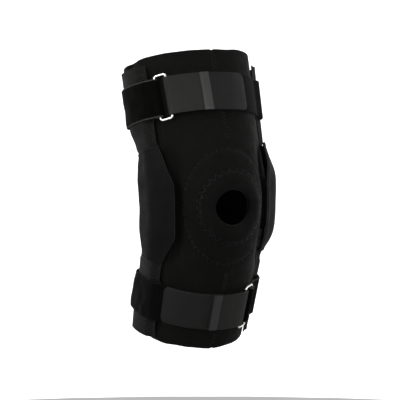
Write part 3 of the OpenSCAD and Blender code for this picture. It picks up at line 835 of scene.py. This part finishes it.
def pocket(side, upper):
    """A webbing pocket over a bar, from under the cover to near the rim."""
    left = side == "left"
    reach = abs(COVER_ENDS[side][1 if upper else 0]) - UNDER_COVER
    t_ends = (reach, POCKET_TOP) if upper else (-CALF_LEN + 1, -reach)
    t, y = np.meshgrid(line(*t_ends, 1.6, 0.7), line(-POCKET_W / 2, POCKET_W / 2, 1.0, 0.7), indexing="ij")
    tuck = ease((POCKET_START - 1 - np.abs(t)) / 6)
    d = np.minimum(POCKET_W / 2 - np.abs(y), np.minimum(t - t_ends[0], t_ends[1] - t))
    h = round_edge(d, POCKET_T / 2, 0.3) * (1 - 0.45 * tuck)
    strap_low, strap_high = (80, 128) if upper else (-120, -72)
    strapped = ease((t - strap_low) / 4) * ease((strap_high - t) / 4)
    free = 1 - strapped
    curl = free * (2.4 if left else 1.4) * ease((-y - 14) / 5) * (0.7 + 0.3 * np.sin(t / 7))
    wave = free * 0.35 * (1 + noise(t / 22, y / 30, 50 + left + 2 * upper)) * 0.7
    off_leg = spring(t, side_phi(t, y), left)
    middle = pocket_in(t, y) + POCKET_T / 2 + (curl + wave) * (1 - tuck) + off_leg
    middle = middle - tuck * 1.2 * ease((17 - np.abs(y)) / 6)
    outer = skin(t, side_phi(t, y), middle + h)
    inner = skin(t, side_phi(t, y), middle - h)
    name = f"{side}_{'thigh' if upper else 'calf'}_pocket"
    ob = solid(f"{name}_cloth", mirrored(outer, left), mirrored(inner, left), np.stack([t, y], -1),
               cut=True)
    dress(ob, POCKET_MAT if upper else RIB_MAT, HEM_MAT)
    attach(ob, "thigh" if upper else "calf")
    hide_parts(name)


for side in ("left", "right"):
    for upper in (True, False):
        pocket(side, upper)

# ---------- straps ----------


def strap_bar(s):
    """phi of the ring's bar that the base strap and the tail go round."""
    return s[1] + RING_BARS / 2 * DEG_MM


def elastic_bar(s):
    """phi of the ring's bar that the elastic goes round."""
    return s[1] - RING_BARS / 2 * DEG_MM


def lie(t, phi):
    """Height of the middle of a strap that lies on the sleeve, or on the pocket over a bar."""
    top = bar_out(t) - half_w(t) + POCKET_CLEAR + POCKET_T + LIE_OFF
    return LIE_OFF + (top - LIE_OFF) * ease((27 - np.abs(side_y(t, phi))) / 12)


def bight(bar, low, high, step=6):
    """A path round a ring's bar between two angles."""
    angles = np.linspace(low, high, max(int(abs(high - low) / step), 1) + 1)
    return [(bar + BIGHT_R * cos(a) * DEG_MM, WIRE_OFF + BIGHT_R * sin(a) - LIE_OFF) for a in angles]


def dense(path, step):
    """More points along a path of (phi, rise), on smooth curves in the flat."""
    path = np.asarray(path, float)
    flat = np.stack([path[:, 0] / DEG_MM, path[:, 1]], -1)
    lengths = np.maximum(np.linalg.norm(np.diff(flat, axis=0), axis=1), 1e-6)
    run = np.concatenate([[0], np.cumsum(lengths)])
    slope = np.gradient(flat, run, axis=0)
    out = []
    for i in range(len(flat) - 1):
        length = run[i + 1] - run[i]
        for q in np.linspace(0, 1, max(int(round(length / step)), 1) + 1)[:-1]:
            h00, h10 = 2 * q**3 - 3 * q**2 + 1, q**3 - 2 * q**2 + q
            h01, h11 = -2 * q**3 + 3 * q**2, q**3 - q**2
            out.append(h00 * flat[i] + h10 * length * slope[i]
                       + h01 * flat[i + 1] + h11 * length * slope[i + 1])
    out.append(flat[-1])
    out = np.array(out)
    return out[:, 0] * DEG_MM, out[:, 1]


def standing(phi):
    """Where a strap waves a little on its way round the side of the leg."""
    return ease((np.abs(phi) - 72) / 14) * ease((150 - np.abs(phi)) / 30)


def strap(name, s, path, thick, end_r=0.0, flipped=False, step=1.2, edge=0.6):
    """A strap along a path of (phi, rise above lying flat), with its last corners rounded."""
    mid = s[0] + STRAP_W / 2
    phi, rise = dense(path, step)
    flat = np.stack([phi / DEG_MM, rise + lie(mid, phi)], -1)
    d = np.gradient(flat, axis=0)
    normal = np.stack([-d[:, 1], d[:, 0]], -1) / np.linalg.norm(d, axis=1, keepdims=True)
    run = np.concatenate([[0], np.cumsum(np.linalg.norm(np.diff(flat, axis=0), axis=1))])
    into_end = np.maximum(end_r - (run[-1] - run), 0)
    w = STRAP_W / 2
    half = w - end_r + np.sqrt(np.maximum(end_r**2 - into_end**2, 0))
    v, i = np.meshgrid(line(-1, 1, 2.0 / w, edge / w), np.arange(len(phi)), indexing="ij")
    t = mid + v * half[i]
    d_edge = np.minimum((1 - np.abs(v)) * half[i], np.minimum(run[i], run[-1] - run[i]) + 0.08)
    h = round_edge(d_edge, thick / 2, min(edge, thick / 2 - 0.05))
    on_left = (np.sin(np.radians(phi)) < 0) != flipped
    shift = (spring(t, phi[i]) + 0.8 * noise(t / 30, phi[i] / 18, 61) * standing(phi[i])) * on_left[i]
    grids = [skin(t, phi[i] + normal[i, 0] * k * h * DEG_MM,
                  rise[i] + lie(t, phi[i]) + normal[i, 1] * k * h + shift) for k in (1, -1)]
    grids = [mirrored(g, flipped) for g in grids]
    return solid(name, grids[0], grids[1], np.stack([run[i], v * w], -1), sharp=50)


# Where base and elastic meet behind the leg, the angle at which the fold becomes the tail, and
# the welded band's thickness.
BACK_END, FOLD_END, BAND_T = 179.7, 88, 0.4


def lying(low, high, step):
    """A path that lies flat from one phi to another."""
    return [(p, 0.0) for p in np.arange(low, high, step)]


def strap_set(prefix, s, body, tail_body, flipped):
    """All the cloth of a strap; gives back its fold."""
    b, e = strap_bar(s), elastic_bar(s)

    def add(part, path, mat, slot, body_name, **more):
        ob = strap(f"{prefix}_{part}_cloth", s, path, flipped=flipped, **more)
        dress(ob, mat)
        if body_name:
            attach(ob, body_name)
        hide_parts(f"{prefix}_{part}")
        return ob

    round_leg = lying(b + 2, 60, 5) + lying(62, 119, 3) + lying(122, 178, 6) + [(BACK_END, 0)]
    add("base", bight(b, 175, 265) + round_leg, BASE_MAT, "strap_base", body, thick=STRAP_T)
    add("elastic", [(-BACK_END, 0)] + lying(-178, -121, 6) + lying(-118, e - 14, 3)
        + [(e - 12.5, 0.2), (e - 9.5, 1.2), (e - 5.5, 3.2), (e - 2, BIGHT_TOP - 0.3)]
        + bight(e, 90, -90) + [(e - 2, 0), (e - 4, 0), (e - 6, 0)],
        ELASTIC_MAT, "elastic", body, thick=STRAP_T)
    fold = add("fold", bight(b, FOLD_END, 175), TAIL_MAT, "strap_tail", None, thick=STRAP_T, step=0.6)
    sinking = [(p, mix(BIGHT_TOP, TAIL_RISE, float(ease((p - b - 3) / 15))))
               for p in np.arange(b + 3, b + 19, 3)]
    flat = [(p, TAIL_RISE) for p in np.linspace(b + 21, s[3] + 1, 6)]
    add("tail", bight(b, FOLD_END, FOLD_END)[:1] + sinking + flat, TAIL_MAT, "strap_tail", tail_body,
        thick=STRAP_T)
    places = [*np.linspace(s[2] - 2, s[4] - 7, 13), *np.linspace(s[4] - 5.5, s[4], 7)]
    add("tab", [(p, (STRAP_T + TAB_T) / 2 + GAP) for p in places], TAB_MAT, "hook_tab", tail_body,
        thick=TAB_T, end_r=6.0)
    band = [(p, TAIL_RISE + STRAP_T / 2 + 0.3) for p in np.linspace(s[2], s[3], 4)]
    # The mirrored calf strap's band takes the darker copy, which is painted shade.
    add("band", band, SHADED_BAND_MAT if flipped else BAND_MAT, "band", tail_body,
        thick=BAND_T, edge=0.12)
    return fold


def fold_ends(s, flipped):
    """Where the fold leaves the base, and where it joins the tail: either side of the ring's bar."""
    mid = s[0] + STRAP_W / 2
    low = skin(mid, strap_bar(s) - 1.6 * DEG_MM, WIRE_OFF - 0.2)
    high = skin(mid, strap_bar(s), WIRE_OFF + BIGHT_R)
    return [tuple(mirrored(p, flipped) * MM) for p in (low, high)]


for prefix, s, body, tail_body, flipped in (
        ("thigh_strap", THIGH_STRAP, "thigh", "thigh_tail", False),
        ("calf_strap", CALF_STRAP, "calf", "calf_tail", True)):
    fold = strap_set(prefix, s, body, tail_body, flipped)
    start, end = fold_ends(s, flipped)
    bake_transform(fold)
    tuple(start)
    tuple(end)

# ---------- foam pads inside the hinges ----------

PAD_X, PAD_R = 59.7, 20
# A pad's section: how far in from its outline, and how far out from its inner face.
PAD_PROFILE = [(16, 0), (6, 0), (1.6, 0), (0.5, 0.25), (0, 0.9),
               (0, 1.4), (0.5, 2.05), (1.6, 2.3), (6, 2.3), (16, 2.3)]


def pad(side):
    """An oblong foam pad with round ends, between a hinge and the knee."""
    turn = np.radians(np.arange(0, 360, 5.0))
    rows = []
    for inset, x in PAD_PROFILE:
        r = PAD_R - inset
        z = np.sin(turn) * r + np.where(np.sin(turn) >= 0, PIVOT_Z, -PIVOT_Z)
        rows.append(np.stack([np.full_like(turn, PAD_X + x), PIVOT_Y + np.cos(turn) * r, z], -1))
    grid = np.array(rows)
    count, m = grid.shape[:2]
    faces = tube_faces(count, m) + [list(range(m))[::-1], [(count - 1) * m + c for c in range(m)]]
    points = mirrored(grid, side == "left").reshape(-1, 3)
    ob = make(f"{side}_pad_foam", points, faces, grid[..., 1:].reshape(-1, 2))
    face_out(ob)
    dress(ob, PAD_MAT)
    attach(ob, f"hinge_{side}")
    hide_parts(f"{side}_condyle_pad")


for side in ("left", "right"):
    pad(side)

# ---------- materials of the CAD parts that show ----------

finishes = {"thigh_bar_tips": TIP_MAT, "calf_bar_tips": TIP_MAT,
            "thigh_strap_ring": WIRE_MAT, "calf_strap_ring": WIRE_MAT}
for side in ("left", "right"):
    finishes.update({f"{side}_thigh_bar": BAR_MAT, f"{side}_calf_bar": BAR_MAT,
                     f"{side}_inner_plate": PLATE_MAT, f"{side}_outer_plate": PLATE_MAT,
                     f"{side}_rivets": RIVET_MAT})
for name, mat in finishes.items():
    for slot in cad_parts[name].material_slots:
        slot.material = mat

# ---------- studio, in metres ----------

FLOOR_Z, FLOOR_R, CURVE_R, WALL_TOP = -0.45, 4.0, 1.5, 2.6


def studio():
    """A round white stage: a floor that curves up into a low wall all round."""
    profile = [(1.5, FLOOR_Z), (3.0, FLOOR_Z), (FLOOR_R, FLOOR_Z)]
    profile += [(FLOOR_R + CURVE_R * math.sin(a), FLOOR_Z + CURVE_R - CURVE_R * math.cos(a))
                for a in np.radians(np.arange(9, 91, 9))]
    profile += [(FLOOR_R + CURVE_R, WALL_TOP)]
    turns = np.radians(np.arange(0, 360, 6))
    points = [(r * math.cos(a), r * math.sin(a), z) for r, z in profile for a in turns]
    faces = tube_faces(len(profile), len(turns)) + [list(range(len(turns)))]
    ob = make("studio_floor", np.array(points) / MM, faces, sharp=180)
    m = Nodes("studio_paint")
    grain = m.noise(m.where(), 3.0, 2.0, 0.5)
    m.shader.inputs["Emission Color"].default_value = (1, 1, 1, 1)
    ob.data.materials.append(m.finish(m.blend(grain, (0.93, 0.93, 0.93), (0.95, 0.95, 0.95)), 0.9,
                                      Specular_IOR_Level=0.1, Emission_Strength=0.5))


def lamp(name, place, size, power):
    """A square soft light aimed at the middle of the brace."""
    data = bpy.data.lights.new(name, "AREA")
    data.shape = "RECTANGLE"
    data.size = data.size_y = size
    data.energy = power
    ob = bpy.data.objects.new(name, data)
    bpy.context.scene.collection.objects.link(ob)
    ob.location = place
    ob.rotation_euler = (Vector((0, 0, 0)) - Vector(place)).to_track_quat("-Z", "Y").to_euler()


studio()
lamp("key_light", (-2.4, -0.3, 1.5), 1.1, 32)
lamp("fill_light", (-0.7, -2.4, 1.1), 0.9, 15)
lamp("top_light", (0, 0.2, 2.6), 3, 30)
lamp("rim_light", (-0.4, 2.4, 1.4), 1.4, 12)
bpy.context.scene.view_settings.view_transform = "Standard"
world = bpy.data.worlds.new("studio_air")
world.use_nodes = True
background = world.node_tree.nodes["Background"]
background.inputs["Color"].default_value = (1, 1, 1, 1)
background.inputs["Strength"].default_value = 0.5
bpy.context.scene.world = world

# The camera is on the brace's left and a little above it; its shift only frames the picture.
AZIMUTH, ELEVATION, DISTANCE = math.radians(-27.0), math.radians(4.2), 2.2
camera = bpy.data.cameras.new("camera")
camera.sensor_width = 36
camera.lens = 191.0
camera.shift_x, camera.shift_y = -0.012, 0.00825
camera.clip_end = 50
view = bpy.data.objects.new("camera", camera)
bpy.context.scene.collection.objects.link(view)
view.location = (DISTANCE * math.sin(AZIMUTH) * math.cos(ELEVATION),
                 -DISTANCE * math.cos(AZIMUTH) * math.cos(ELEVATION), DISTANCE * math.sin(ELEVATION))
view.rotation_euler = (math.pi / 2 - ELEVATION, 0, AZIMUTH)
bpy.context.scene.camera = view
